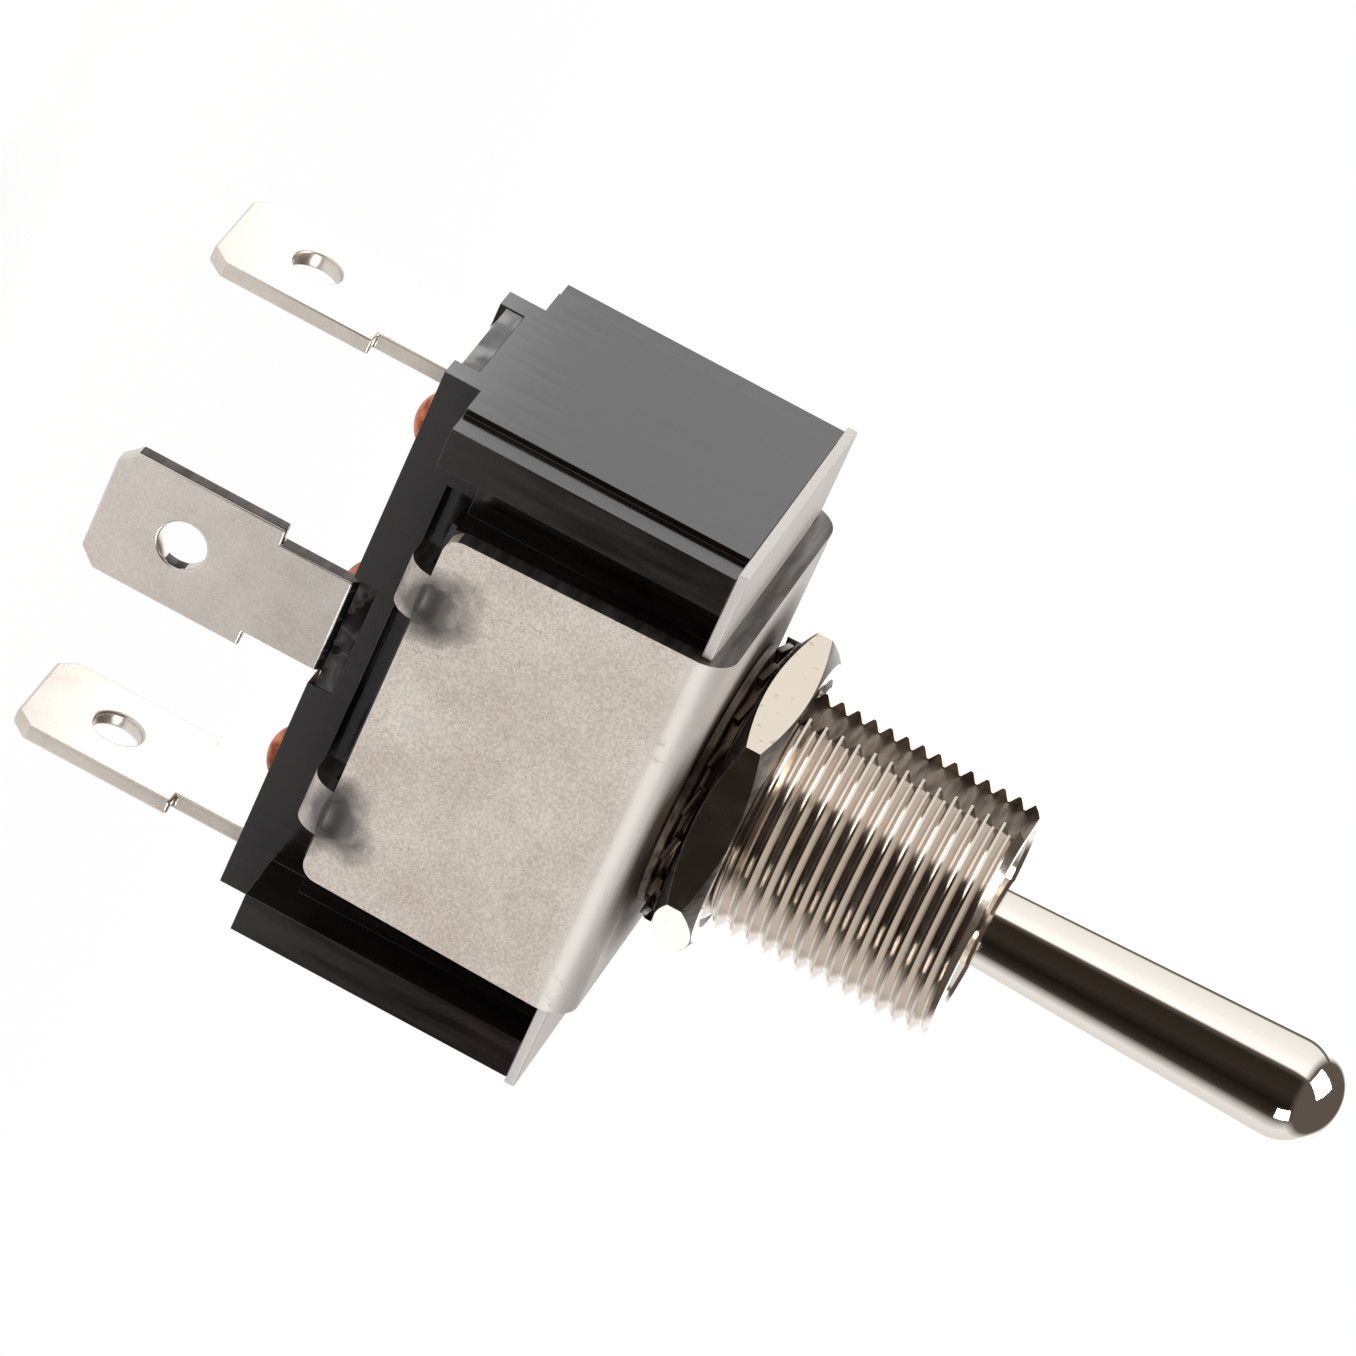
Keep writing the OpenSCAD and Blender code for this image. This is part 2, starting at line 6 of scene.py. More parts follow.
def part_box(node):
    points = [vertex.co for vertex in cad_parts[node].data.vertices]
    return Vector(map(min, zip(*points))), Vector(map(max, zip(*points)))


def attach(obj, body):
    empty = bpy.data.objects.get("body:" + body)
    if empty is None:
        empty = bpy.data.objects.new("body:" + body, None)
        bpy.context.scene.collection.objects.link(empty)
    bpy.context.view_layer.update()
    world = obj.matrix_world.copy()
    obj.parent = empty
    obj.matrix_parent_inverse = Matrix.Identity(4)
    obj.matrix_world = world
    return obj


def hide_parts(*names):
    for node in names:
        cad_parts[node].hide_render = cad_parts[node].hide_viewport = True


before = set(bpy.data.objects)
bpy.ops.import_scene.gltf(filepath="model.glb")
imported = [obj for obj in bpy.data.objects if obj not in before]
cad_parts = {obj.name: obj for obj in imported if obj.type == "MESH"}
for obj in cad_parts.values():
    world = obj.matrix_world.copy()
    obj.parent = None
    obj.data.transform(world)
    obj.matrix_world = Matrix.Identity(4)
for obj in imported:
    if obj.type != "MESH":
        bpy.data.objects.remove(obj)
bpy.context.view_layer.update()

mm = 0.001  # sizes below are in millimetres, and this makes metres of them
seam = 0.0005  # corners nearer to each other than this are one corner
hair = 0.01  # a cutting tool runs this far past a face, so that their corners never meet


def note(text):
    print("stage:", text)


def boxOf(node):
    low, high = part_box(node)  # a CAD node's corners, in millimetres
    return Vector(low) / mm, Vector(high) / mm


# edit mode helpers

def pick(piece):
    bpy.ops.object.select_all(action="DESELECT")
    piece.select_set(True)
    bpy.context.view_layer.objects.active = piece


def startEdit(piece, how="FACE"):
    pick(piece)
    bpy.ops.object.mode_set(mode="EDIT")
    bpy.ops.mesh.select_mode(type=how)
    bpy.ops.mesh.select_all(action="DESELECT")


def endEdit():
    bpy.ops.object.mode_set(mode="OBJECT")


def selectFaces(piece, wanted):
    bpy.ops.object.mode_set(mode="OBJECT")
    for face in piece.data.polygons:  # wanted() gets the centre in millimetres and the normal
        face.select = wanted(face.center / mm, face.normal)
    bpy.ops.object.mode_set(mode="EDIT")


def addPrimitive(kind, name, at=(0, 0, 0), turn=(0, 0, 0), stretch=None, **settings):
    bpy.ops.object.select_all(action="DESELECT")
    getattr(bpy.ops.mesh, "primitive_" + kind + "_add")(
        location=Vector(at) * mm, rotation=[math.radians(a) for a in turn], **settings)
    piece = bpy.context.active_object
    piece.name = name
    if stretch:
        piece.scale = stretch
    bpy.ops.object.transform_apply(location=True, rotation=True, scale=True)
    return piece


def addBox(name, low, high, turn=(0, 0, 0)):
    centre = [(a + b) / 2 for a, b in zip(low, high)]
    stretch = [b - a for a, b in zip(low, high)]
    return addPrimitive("cube", name, at=centre, turn=turn, stretch=stretch, size=mm)


def applyModifier(piece, kind, **settings):
    pick(piece)
    modifier = piece.modifiers.new(kind.title(), kind)
    for key, value in settings.items():
        setattr(modifier, key, value)
    bpy.ops.object.modifier_apply(modifier=modifier.name)


def combine(piece, tool, operation="DIFFERENCE"):
    applyModifier(piece, "BOOLEAN", object=tool, operation=operation, solver="EXACT")
    bpy.data.objects.remove(tool)


def smooth(piece, angle=40):
    pick(piece)
    bpy.ops.object.shade_smooth_by_angle(angle=math.radians(angle))


def softenEdges(piece, width, segments=2, angle=32):
    applyModifier(piece, "BEVEL", width=width * mm, segments=segments, limit_method="ANGLE",
                  angle_limit=math.radians(angle), use_clamp_overlap=True)
    smooth(piece)
    applyModifier(piece, "WEIGHTED_NORMAL", keep_sharp=True, weight=100)  # flat faces look flat


def drawOutline(name, outline):
    piece = addPrimitive("plane", name, size=mm)
    startEdit(piece, "VERT")
    bpy.ops.mesh.select_all(action="SELECT")
    bpy.ops.mesh.merge(type="CENTER")
    here = Vector((0, 0, 0))
    for count, (radius, height) in enumerate(outline):
        step = Vector((radius, 0, height)) * mm - here
        if count == 0:
            bpy.ops.transform.translate(value=step)
        else:
            bpy.ops.mesh.extrude_vertices_move(TRANSFORM_OT_translate={"value": step})
        here += step
    endEdit()
    return piece


def closeSeams(piece):
    startEdit(piece, "VERT")
    bpy.ops.mesh.select_all(action="SELECT")
    bpy.ops.mesh.remove_doubles(threshold=seam * mm)
    bpy.ops.mesh.normals_make_consistent(inside=False)
    endEdit()


def lathe(name, outline, steps):
    piece = drawOutline(name, outline)  # (radius, height) points, spun round the Z axis
    startEdit(piece, "VERT")
    bpy.ops.mesh.select_all(action="SELECT")
    bpy.ops.mesh.spin(steps=steps, angle=2 * math.pi, center=(0, 0, 0), axis=(0, 0, 1))
    endEdit()
    closeSeams(piece)
    return piece


def arcPoints(middle, radius, start, end, count):
    angles = [math.radians(start + (end - start) * i / count) for i in range(count + 1)]
    return [(middle[0] + radius * math.cos(a), middle[1] + radius * math.sin(a)) for a in angles]


def copyOfNode(node, name):
    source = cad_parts[node]
    piece = source.copy()
    piece.data = source.data.copy()
    piece.name = name
    piece.parent = None
    piece.matrix_world = Matrix.Identity(4)
    for collection in source.users_collection:
        collection.objects.link(piece)
    for key in [k for k in piece.keys() if k.startswith("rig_")]:
        del piece[key]
    startEdit(piece, "VERT")
    bpy.ops.mesh.select_all(action="SELECT")
    bpy.ops.mesh.remove_doubles(threshold=seam * mm)
    bpy.ops.mesh.customdata_custom_splitnormals_clear()
    bpy.ops.mesh.dissolve_limited(angle_limit=math.radians(0.8))  # joins a flat face's triangles
    endEdit()
    return piece


def finishPiece(piece, body, material, slot, *nodes):
    piece.data.materials.clear()
    piece.data.materials.append(material)
    for face in piece.data.polygons:
        face.material_index = 0
    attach(piece, body)
    if nodes:
        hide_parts(*nodes)


def repaint(piece, material, wanted):
    piece.data.materials.append(material)
    for face in piece.data.polygons:
        if wanted(face.center / mm, face.normal):
            face.material_index = len(piece.data.materials) - 1


# camera: a little above the level of the switch, and rolled so that the lever points down right
cameraPlan = {"yaw": -32.06, "elevation": 5.147, "roll": 28.113, "distance": 506.5,
              "lens": 308.63, "sensor": 36, "nearest": 10, "aimRight": -3.013, "aimUp": -3.832,
              "lift": 0.912}


def makeCamera(plan):
    yaw, elevation, roll = (math.radians(plan[key]) for key in ("yaw", "elevation", "roll"))
    back = Vector((math.sin(yaw) * math.cos(elevation), -math.cos(yaw) * math.cos(elevation),
                   math.sin(elevation)))
    right = Vector((math.cos(yaw), math.sin(yaw), 0))
    up = back.cross(right)
    target = right * plan["aimRight"] + up * plan["aimUp"] + Vector((0, 0, plan["lift"]))
    rolledRight = up * math.cos(roll) - right * math.sin(roll)
    rolledUp = -right * math.cos(roll) - up * math.sin(roll)
    data = bpy.data.cameras.new("camera")
    camera = bpy.data.objects.new("camera", data)
    bpy.context.scene.collection.objects.link(camera)
    turn = Matrix((rolledRight, rolledUp, back)).transposed()
    place = (target + back * plan["distance"]) * mm
    camera.matrix_world = Matrix.Translation(place) @ turn.to_4x4()
    data.sensor_width = plan["sensor"]
    data.lens = plan["lens"]
    data.clip_start = plan["nearest"] * mm
    bpy.context.scene.camera = camera


makeCamera(cameraPlan)
note("camera")


# materials: a pattern's scale is its features per millimetre

def colour(code):
    parts = [int(code[i:i + 2], 16) / 255 for i in (1, 3, 5)]
    return [p / 12.92 if p <= 0.04045 else ((p + 0.055) / 1.055) ** 2.4 for p in parts] + [1]


def addNode(tree, kind, inputs=None, stops=(), **settings):
    node = tree.nodes.new("ShaderNode" + kind)
    for key, value in settings.items():
        setattr(node, key, value)
    for key, value in (inputs or {}).items():
        if isinstance(value, bpy.types.Node):
            tree.links.new(value.outputs[0], node.inputs[key])
        elif isinstance(value, bpy.types.NodeSocket):
            tree.links.new(value, node.inputs[key])
        else:
            node.inputs[key].default_value = colour(value) if isinstance(value, str) else value
    for count, (position, code) in enumerate(stops):
        points = node.color_ramp.elements
        point = points[count] if count < 2 else points.new(position)
        point.position = position
        point.color = colour(code) if isinstance(code, str) else code
    return node


def startMaterial(name, base, metallic, roughness, ior=None):
    material = bpy.data.materials.new(name)
    material.use_nodes = True
    tree = material.node_tree
    shader = tree.nodes["Principled BSDF"]
    shader.inputs["Base Color"].default_value = colour(base)
    shader.inputs["Metallic"].default_value = metallic
    shader.inputs["Roughness"].default_value = roughness
    if ior:
        shader.inputs["IOR"].default_value = ior
    place = addNode(tree, "TexCoord").outputs["Object"]
    return material, tree, shader, place


# Cold rolled steel sheet, zinc plated: a satin pale warm grey with a fine grain, a few hair
# scratches and rub marks. The press has dulled the bend, whose darker grey is painted shade. Its
# jaws have left a glossier spot round each crimp tab, painted dark grey as reflection. Round the
# bushing, where it is staked into the web, the web is painted dark brown as shade.
sheetPlan = {"crimpX": 6.05, "crimpY": 8.05, "crimpZ": -13.0, "crimpInner": 2.2,
             "crimpOuter": 3.6, "crimpRagged": 2.6, "bendLow": -2.2, "bendHigh": -1.2,
             "webShadeInner": 7.4, "webShadeOuter": 9.4, "webLow": -0.6, "webHigh": -0.25}


def zincPlatedSheet(plan):
    material, tree, shader, place = startMaterial("zincPlatedSheet", "#e2d6ca", 0.85, 0.42)
    cloud = addNode(tree, "TexNoise", {"Vector": place, "Scale": 0.3 / mm, "Detail": 4})
    grain = addNode(tree, "TexNoise", {"Vector": place, "Scale": 9 / mm, "Detail": 3})
    tone = addNode(tree, "ValToRGB", {"Fac": cloud}, [(0.3, "#dacdc1"), (0.7, "#ece2d8")])
    grained = addNode(tree, "ValToRGB", {"Fac": grain}, [(0.35, "#e0e0e0"), (0.65, "#ffffff")])
    skin = addNode(tree, "Mix", {0: 1.0, 6: tone, 7: grained},
                   data_type="RGBA", blend_type="MULTIPLY")

    # hair scratches, in patches
    wander = addNode(tree, "TexNoise", {"Vector": place, "Scale": 0.33 / mm, "Detail": 7,
                                        "Roughness": 0.62})
    line = addNode(tree, "ValToRGB", {"Fac": wander},
                   [(0.495, "#000000"), (0.5, "#ffffff"), (0.505, "#000000")])
    where = addNode(tree, "TexNoise", {"Vector": place, "Scale": 0.14 / mm, "Detail": 1})
    patch = addNode(tree, "MapRange", {"Value": where, "From Min": 0.45, "From Max": 0.55,
                                       "To Max": 0.9})
    scratch = addNode(tree, "Math", {0: line, 1: patch}, operation="MULTIPLY")
    marked = addNode(tree, "Mix", {0: scratch, 6: skin.outputs[2], 7: "#8d8279"},
                     data_type="RGBA")

    # ragged spots where the jaws have pressed: glossier, and painted dark grey as reflection
    split = addNode(tree, "SeparateXYZ", {"Vector": place})
    across = addNode(tree, "Math", {0: split.outputs["X"]}, operation="ABSOLUTE")
    through = addNode(tree, "Math", {0: split.outputs["Y"]}, operation="ABSOLUTE")
    corner = addNode(tree, "CombineXYZ", {"X": across, "Y": through, "Z": split.outputs["Z"]})
    crimp = (plan["crimpX"] * mm, plan["crimpY"] * mm, plan["crimpZ"] * mm)
    away = addNode(tree, "VectorMath", {0: corner, 1: crimp}, operation="DISTANCE")
    ragged = addNode(tree, "TexNoise", {"Vector": place, "Scale": 0.5 / mm, "Detail": 3})
    edge = addNode(tree, "Math", {0: ragged, 1: plan["crimpRagged"] * mm,
                                  2: away.outputs["Value"]}, operation="MULTIPLY_ADD")
    jaw = addNode(tree, "MapRange", {"Value": edge, "From Min": plan["crimpOuter"] * mm,
                                     "From Max": plan["crimpInner"] * mm})
    jawPaintedReflection = addNode(tree, "Mix", {0: jaw, 6: marked.outputs[2], 7: "#6b6765"},
                      data_type="RGBA")

    # the bend between the legs and the web, painted a darker grey as shade
    bend = addNode(tree, "MapRange", {"Value": split.outputs["Z"],
                                      "From Min": plan["bendLow"] * mm,
                                      "From Max": plan["bendHigh"] * mm})
    bendPaintedShade = addNode(tree, "Mix", {0: bend, 6: jawPaintedReflection.outputs[2], 7: "#ccc7c2"},
                     data_type="RGBA")

    # painted shade on the web top round the bushing, beside the washer and nut
    level = addNode(tree, "CombineXYZ", {"X": split.outputs["X"], "Y": split.outputs["Y"]})
    spread = addNode(tree, "VectorMath", {0: level}, operation="LENGTH")
    near = addNode(tree, "MapRange", {"Value": spread.outputs["Value"],
                                      "From Min": plan["webShadeOuter"] * mm,
                                      "From Max": plan["webShadeInner"] * mm})
    top = addNode(tree, "MapRange", {"Value": split.outputs["Z"],
                                     "From Min": plan["webLow"] * mm,
                                     "From Max": plan["webHigh"] * mm})
    webPaintedShade = addNode(tree, "Math", {0: near, 1: top}, operation="MULTIPLY")
    webShadedColour = addNode(tree, "Mix", {0: webPaintedShade, 6: bendPaintedShade.outputs[2], 7: "#574b41"},
                      data_type="RGBA")
    tree.links.new(webShadedColour.outputs[2], shader.inputs["Base Color"])

    dulled = addNode(tree, "MapRange", {"Value": bend, "To Min": 0.42, "To Max": 0.6})
    sheen = addNode(tree, "Math", {0: jaw, 1: -0.17, 2: dulled}, operation="MULTIPLY_ADD")
    tree.links.new(sheen.outputs[0], shader.inputs["Roughness"])
    fine = addNode(tree, "Bump", {"Height": grain, "Strength": 0.2, "Distance": 0.006 * mm})
    cut = addNode(tree, "Bump", {"Height": scratch, "Strength": 0.5, "Distance": 0.02 * mm,
                                 "Normal": fine}, invert=True)
    tree.links.new(cut.outputs[0], shader.inputs["Normal"])
    return material


# A sheet's sheared edge, rougher than its skin, with the torn line that the punch leaves along
# it; it is painted darker than the skin, as shade.
def shadedCutEdge(name, low, high):
    material, tree, shader, place = startMaterial(name, low, 0.8, 0.36)
    along = addNode(tree, "Mapping", {"Vector": place, "Scale": (1, 0.15, 1)})
    tear = addNode(tree, "TexNoise", {"Vector": along, "Scale": 2 / mm, "Detail": 4})
    tone = addNode(tree, "ValToRGB", {"Fac": tear}, [(0.35, low), (0.65, high)])
    tree.links.new(tone.outputs[0], shader.inputs["Base Color"])
    return material


# The slot that a cutter has milled along the thread, dark brown with chatter marks. The same
# dark brown is painted as shade round the bushing's foot under the washer.
def milledSlot():
    material, tree, shader, place = startMaterial("milledSlot", "#6f6255", 0.8, 0.42)
    across = addNode(tree, "Mapping", {"Vector": place, "Scale": (1, 0.3, 2)})
    chatter = addNode(tree, "TexNoise", {"Vector": across, "Scale": 1.5 / mm, "Detail": 3})
    tone = addNode(tree, "ValToRGB", {"Fac": chatter}, [(0.35, "#463b31"), (0.65, "#796b5d")])
    tree.links.new(tone.outputs[0], shader.inputs["Base Color"])
    return material


# Bright nickel plate over brass or steel: a warm mirror, hazier in patches where fingers and
# tools have rubbed it. It has tool marks round the lathe's axis where markDepth is given, and
# small brown pits where pits is given.
def nickelPlate(name, base, roughness, haze, markDepth=0.0, pits=0.0):
    material, tree, shader, place = startMaterial(name, base, 1, roughness)
    cloud = addNode(tree, "TexNoise", {"Vector": place, "Scale": 0.7 / mm, "Detail": 4})
    patchy = addNode(tree, "MapRange", {"Value": cloud, "From Min": 0.35, "From Max": 0.7,
                                        "To Min": roughness, "To Max": roughness + haze})
    tree.links.new(patchy.outputs[0], shader.inputs["Roughness"])
    flat = addNode(tree, "Mapping", {"Vector": place, "Scale": (0.35, 0.35, 3)})
    marks = addNode(tree, "TexNoise", {"Vector": flat, "Scale": 3 / mm, "Detail": 3})
    turned = addNode(tree, "Bump", {"Height": marks, "Strength": markDepth,
                                    "Distance": 0.01 * mm})
    dots = addNode(tree, "TexNoise", {"Vector": place, "Scale": 2 / mm, "Detail": 1})
    pit = addNode(tree, "MapRange", {"Value": dots, "From Min": 0.69, "From Max": 0.74,
                                     "To Max": pits})
    tone = addNode(tree, "Mix", {0: pit, 6: base, 7: "#6b5f51"}, data_type="RGBA")
    tree.links.new(tone.outputs[2], shader.inputs["Base Color"])
    pitted = addNode(tree, "Bump", {"Height": pit, "Strength": 0.25, "Distance": 0.02 * mm,
                                    "Normal": turned}, invert=True)
    tree.links.new(pitted.outputs[0], shader.inputs["Normal"])
    return material


# Brass strip, tin plated and blanked: satin and nearly white, with a faint mottle and rolling
# grain.
def tinPlatedBrass():
    material, tree, shader, place = startMaterial("tinPlatedBrass", "#e0d8cf", 0.9, 0.27)
    mottle = addNode(tree, "TexNoise", {"Vector": place, "Scale": 0.5 / mm, "Detail": 3})
    grain = addNode(tree, "TexNoise", {"Vector": place, "Scale": 9 / mm, "Detail": 3})
    tone = addNode(tree, "ValToRGB", {"Fac": mottle}, [(0.3, "#d6cdc3"), (0.7, "#e2dad1")])
    grained = addNode(tree, "ValToRGB", {"Fac": grain}, [(0.3, "#f0f0f0"), (0.7, "#ffffff")])
    skin = addNode(tree, "Mix", {0: 1.0, 6: tone, 7: grained},
                   data_type="RGBA", blend_type="MULTIPLY")
    tree.links.new(skin.outputs[2], shader.inputs["Base Color"])
    sheen = addNode(tree, "MapRange", {"Value": mottle, "From Min": 0.3, "From Max": 0.7,
                                       "To Min": 0.25, "To Max": 0.31})
    tree.links.new(sheen.outputs[0], shader.inputs["Roughness"])
    fine = addNode(tree, "Bump", {"Height": grain, "Strength": 0.15, "Distance": 0.006 * mm})
    tree.links.new(fine.outputs[0], shader.inputs["Normal"])
    return material


# Black phenolic moulding: dull brown black with a satin skin, faint flow streaks and pale
# filler specks.
def mouldedPhenolic():
    material, tree, shader, place = startMaterial("mouldedPhenolic", "#160f0e", 0, 0.2, 1.6)
    flow = addNode(tree, "Mapping", {"Vector": place, "Scale": (1, 1, 0.12)})
    streak = addNode(tree, "TexNoise", {"Vector": flow, "Scale": 1.6 / mm, "Detail": 4})
    speck = addNode(tree, "TexNoise", {"Vector": place, "Scale": 6 / mm, "Detail": 2})
    tone = addNode(tree, "ValToRGB", {"Fac": streak}, [(0.35, "#100b0a"), (0.7, "#1b1413")])
    dust = addNode(tree, "MapRange", {"Value": speck, "From Min": 0.68, "From Max": 0.78,
                                      "To Max": 0.12})
    skin = addNode(tree, "Mix", {0: dust, 6: tone, 7: "#5c5552"}, data_type="RGBA")
    tree.links.new(skin.outputs[2], shader.inputs["Base Color"])
    sheen = addNode(tree, "MapRange", {"Value": streak, "From Min": 0.35, "From Max": 0.7,
                                       "To Min": 0.15, "To Max": 0.24})
    tree.links.new(sheen.outputs[0], shader.inputs["Roughness"])
    fine = addNode(tree, "Bump", {"Height": speck, "Strength": 0.1, "Distance": 0.006 * mm})
    tree.links.new(fine.outputs[0], shader.inputs["Normal"])
    return material


# Cold headed copper: dull orange brown, darker where it has oxidised, with a grainy head.
def headedCopper():
    material, tree, shader, place = startMaterial("headedCopper", "#b4613f", 0.9, 0.38)
    oxide = addNode(tree, "TexNoise", {"Vector": place, "Scale": 1.8 / mm, "Detail": 4})
    tone = addNode(tree, "ValToRGB", {"Fac": oxide}, [(0.35, "#8a3c22"), (0.6, "#d07c54")])
    tree.links.new(tone.outputs[0], shader.inputs["Base Color"])
    rough = addNode(tree, "Bump", {"Height": oxide, "Strength": 0.5, "Distance": 0.08 * mm})
    tree.links.new(rough.outputs[0], shader.inputs["Normal"])
    return material


# Stamped spring brass: yellow and satin, slightly tarnished in patches.
def stampedBrass():
    material, tree, shader, place = startMaterial("stampedBrass", "#c9a45a", 1, 0.3)
    tarnish = addNode(tree, "TexNoise", {"Vector": place, "Scale": 0.9 / mm, "Detail": 3})
    tone = addNode(tree, "ValToRGB", {"Fac": tarnish}, [(0.3, "#b18c44"), (0.7, "#d9b870")])
    tree.links.new(tone.outputs[0], shader.inputs["Base Color"])
    return material


# Pressed silver contact: white metal whose sheen is a little cloudy.
def pressedSilver():
    material, tree, shader, place = startMaterial("pressedSilver", "#e2ded8", 1, 0.25)
    haze = addNode(tree, "TexNoise", {"Vector": place, "Scale": 1.5 / mm, "Detail": 3})
    sheen = addNode(tree, "MapRange", {"Value": haze, "From Min": 0.3, "From Max": 0.7,
                                       "To Min": 0.2, "To Max": 0.35})
    tree.links.new(sheen.outputs[0], shader.inputs["Roughness"])
    return material


# Drawn steel wire and pin: mid grey with fine lines along the draw.
def drawnSteel():
    material, tree, shader, place = startMaterial("drawnSteel", "#a8a6a3", 1, 0.3)
    along = addNode(tree, "Mapping", {"Vector": place, "Scale": (1, 0.1, 1)})
    lines = addNode(tree, "TexNoise", {"Vector": along, "Scale": 12 / mm, "Detail": 2})
    drawn = addNode(tree, "Bump", {"Height": lines, "Strength": 0.2, "Distance": 0.01 * mm})
    tree.links.new(drawn.outputs[0], shader.inputs["Normal"])
    return material


# Poured epoxy: black and wet looking, its skin in shallow waves with a few paler streaks.
def pouredEpoxy():
    material, tree, shader, place = startMaterial("pouredEpoxy", "#0d0a0a", 0, 0.12, 1.55)
    waves = addNode(tree, "TexNoise", {"Vector": place, "Scale": 0.5 / mm, "Detail": 1})
    streak = addNode(tree, "TexNoise", {"Vector": place, "Scale": 0.6 / mm, "Detail": 2})
    streaked = addNode(tree, "ValToRGB", {"Fac": streak},
                    [(0.46, "#0d0a0a"), (0.5, "#3b3532"), (0.54, "#0d0a0a")])
    tree.links.new(streaked.outputs[0], shader.inputs["Base Color"])
    wavy = addNode(tree, "Bump", {"Height": waves, "Strength": 0.5, "Distance": 0.2 * mm})
    tree.links.new(wavy.outputs[0], shader.inputs["Normal"])
    return material


finishes = {
    "sheet": zincPlatedSheet(sheetPlan),
    # the two dark cut-edge finishes are painted shade
    "shadedCut": shadedCutEdge("shearedSteel", "#403c3a", "#6e6a67"),
    "darkShadedCut": shadedCutEdge("tarnishedEdge", "#2a2523", "#4a4340"),
    "thread": nickelPlate("turnedNickelPlate", "#dbd2c8", 0.1, 0.08, markDepth=0.05),
    "slot": milledSlot(),
    "lever": nickelPlate("polishedNickelPlate", "#f1eae1", 0.04, 0.03),
    "nut": nickelPlate("milledNickelPlate", "#e9ddcd", 0.09, 0.05, pits=0.3),
    # the lock washer's dark brown is painted shade, as it lies under the nut
    "washer": nickelPlate("springSteelPlate", "#40352b", 0.22, 0.1),
    "tin": tinPlatedBrass(),
    "phenolic": mouldedPhenolic(),
    "copper": headedCopper(),
    "brass": stampedBrass(),
    "silver": pressedSilver(),
    "steel": drawnSteel(),
    "epoxy": pouredEpoxy(),
}
note("materials")


# bushing with its thread, keyway and tapered mouth
bushingPlan = {
    "crest": 5.8, "root": 5.34, "pitch": 0.794, "crestFlat": 0.12, "rootFlat": 0.1,
    "turnSteps": 120, "roundSteps": 96, "smoothAngle": 24,
    "turnsBelow": 1.5,  # turns that start under the shoulder's top and are cut off
    "threadStart": 0.3, "threadEnd": 0.02,  # from the shoulder's top, and short of the mouth
    "shoulderRadius": 6.3, "shoulderTop": 0.5, "edge": 0.1, "overlap": 0.4,
    "mouthChamfer": 0.4, "mouth": 4.35, "mouthRound": 0.2, "bore": 3.4, "boreTop": 7.82,
    "bottom": -1.4, "tail": 4.85, "rim": 5.4, "rimEdge": 0.2, "webUnder": -0.95,
    "keyWidth": 2.4, "keyDepth": 0.65, "keyOutside": -8,
    "shadeBelow": 1.2,  # under the washer the metal is painted as dark as the slot, as shade
    "toolBottom": -3, "toolPast": 1,
}


def makeBushing(plan):
    pitch, crest, root = plan["pitch"], plan["crest"], plan["root"]
    top, shoulder = boxOf("bushing")[1].z, plan["shoulderTop"]
    edge, past, steps = plan["edge"], plan["toolPast"], plan["roundSteps"]
    flank = (pitch - plan["crestFlat"] - plan["rootFlat"]) / 2
    start = shoulder - plan["turnsBelow"] * pitch
    rise = start + plan["rootFlat"] + flank
    thread = drawOutline("threadedBushing", [
        (root, start), (root, start + plan["rootFlat"]), (crest, rise),
        (crest, rise + plan["crestFlat"]), (root, start + pitch)])
    applyModifier(thread, "SCREW", angle=2 * math.pi, screw_offset=pitch * mm, axis="Z",
                  iterations=math.ceil((top - start) / pitch) + 1,
                  steps=plan["turnSteps"], render_steps=plan["turnSteps"])
    closeSeams(thread)
    ends = ((shoulder + plan["threadStart"], True), (top - plan["threadEnd"], False))
    for level, keepAbove in ends:
        startEdit(thread)
        bpy.ops.mesh.select_all(action="SELECT")
        bpy.ops.mesh.bisect(plane_co=(0, 0, level * mm), plane_no=(0, 0, 1), use_fill=True,
                            threshold=1e-8, clear_inner=keepAbove, clear_outer=not keepAbove)
        endEdit()
    closeSeams(thread)
    chamfer = lathe("chamferTool", [
        (0, plan["toolBottom"]), (crest + past, plan["toolBottom"]),
        (crest + past, top - plan["mouthChamfer"] - past), (crest - plan["mouthChamfer"], top),
        (0, top)], steps)
    combine(thread, chamfer, "INTERSECT")
    base = lathe("bushingBase", [
        (0, plan["bottom"]), (plan["rim"] - plan["rimEdge"], plan["bottom"]),
        (plan["rim"], plan["webUnder"]), (plan["tail"], plan["webUnder"]), (plan["tail"], 0),
        (plan["shoulderRadius"] - edge, 0), (plan["shoulderRadius"], edge),
        (plan["shoulderRadius"], shoulder - edge), (plan["shoulderRadius"] - edge, shoulder),
        (root - edge, shoulder), (root - edge, shoulder + plan["overlap"]),
        (0, shoulder + plan["overlap"])], steps)
    combine(thread, base, "UNION")
    lip = plan["mouthRound"]
    bore = lathe("boreTool", [
        (0, plan["bottom"] - past), (plan["bore"], plan["bottom"] - past),
        (plan["bore"], plan["boreTop"]), (plan["mouth"], top - lip),
        (plan["mouth"] + lip, top + hair), (plan["mouth"] + lip, top + past),
        (0, top + past)], steps)
    combine(thread, bore)
    half, slotFloor = plan["keyWidth"] / 2, plan["keyDepth"] - crest
    combine(thread, addBox("keyTool", (plan["keyOutside"], -half, shoulder + hair),
                           (slotFloor, half, top + past)))
    smooth(thread, plan["smoothAngle"])
    finishPiece(thread, "body", finishes["thread"], "plated_brass", "bushing")
    # the bushing's foot under the washer is painted dark brown as shade, and the keyway's floor
    # gets the slot's dark brown
    repaint(thread, finishes["slot"], lambda centre, normal: centre.z < plan["shadeBelow"] or (
        normal.x < -0.95 and abs(centre.x - slotFloor) < 2 * hair))


makeBushing(bushingPlan)
note("bushing")


